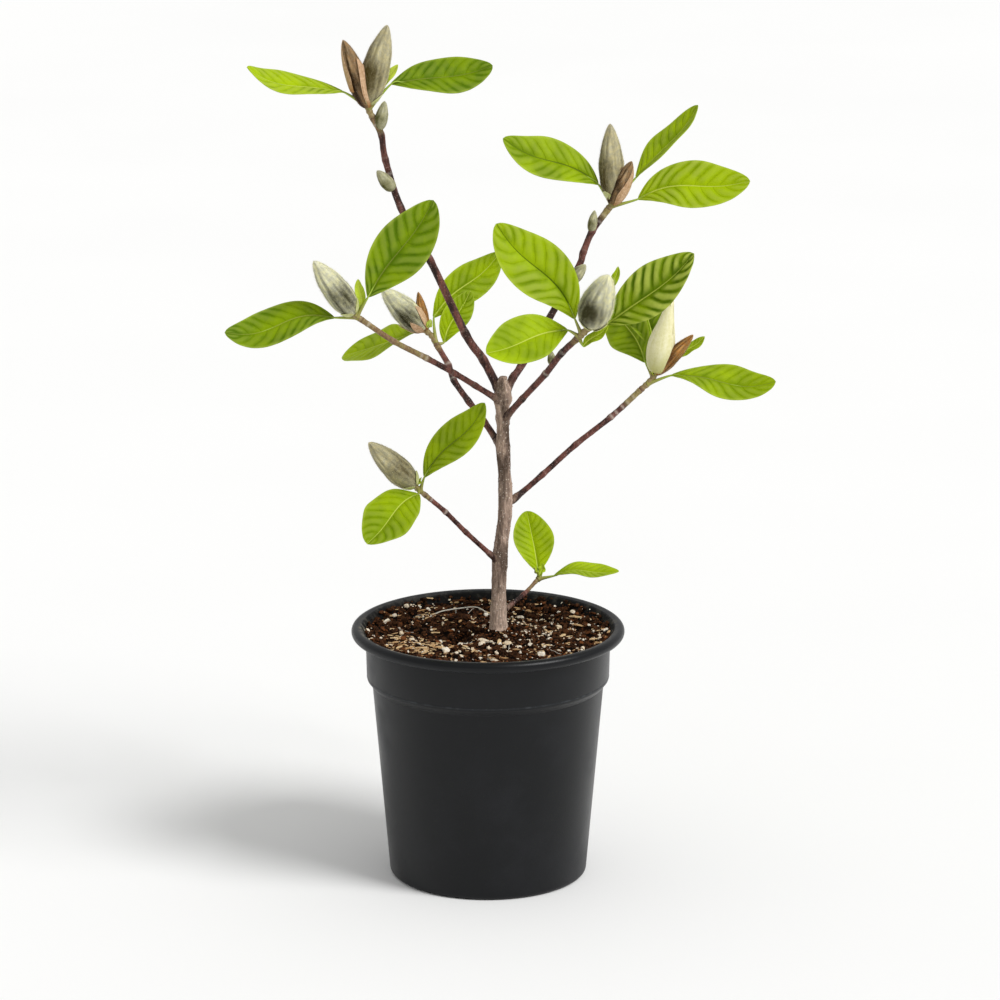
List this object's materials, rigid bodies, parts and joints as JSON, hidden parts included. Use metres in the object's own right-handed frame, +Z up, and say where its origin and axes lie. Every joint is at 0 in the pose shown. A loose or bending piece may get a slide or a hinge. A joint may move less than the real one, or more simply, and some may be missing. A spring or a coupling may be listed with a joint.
{
  "type": "potted magnolia tree",
  "caption": "Young star magnolia with forked boughs, bright green leaves and furry flower buds, standing in a round black nursery pot filled with soil.",
  "frame": {"origin": "centre of the pot's flat underside, on the surface that it stands on", "axes": "+Z is up; -Y is the side that faces the viewer; +X is the viewer's right"},
  "size_m": [0.3249, 0.1778, 0.5171],
  "materials": {
    "pot": "satin",
    "soil": "matte",
    "trunk_bark": "matte",
    "bough_bark": "satin",
    "foliage": "satin",
    "bud_fur": "matte",
    "petal": "satin",
    "soil_grains": "matte"
  },
  "bodies": {
    "root": {"pot": "pot", "soil": "soil", "trunk": "trunk_bark", "bough_leader": "bough_bark", "bough_back_right": "bough_bark", "bough_left": "bough_bark", "bough_front_right": "bough_bark", "bough_back_left": "bough_bark", "bough_right": "bough_bark", "bough_low_left": "bough_bark", "shoot_basal": "bough_bark", "foliage_leader": "foliage", "foliage_left": "foliage", "foliage_back_left": "foliage", "foliage_front_right": "foliage", "foliage_back_right": "foliage", "foliage_right": "foliage", "foliage_low_left": "foliage", "foliage_basal": "foliage"}
  },
  "joints": []
}
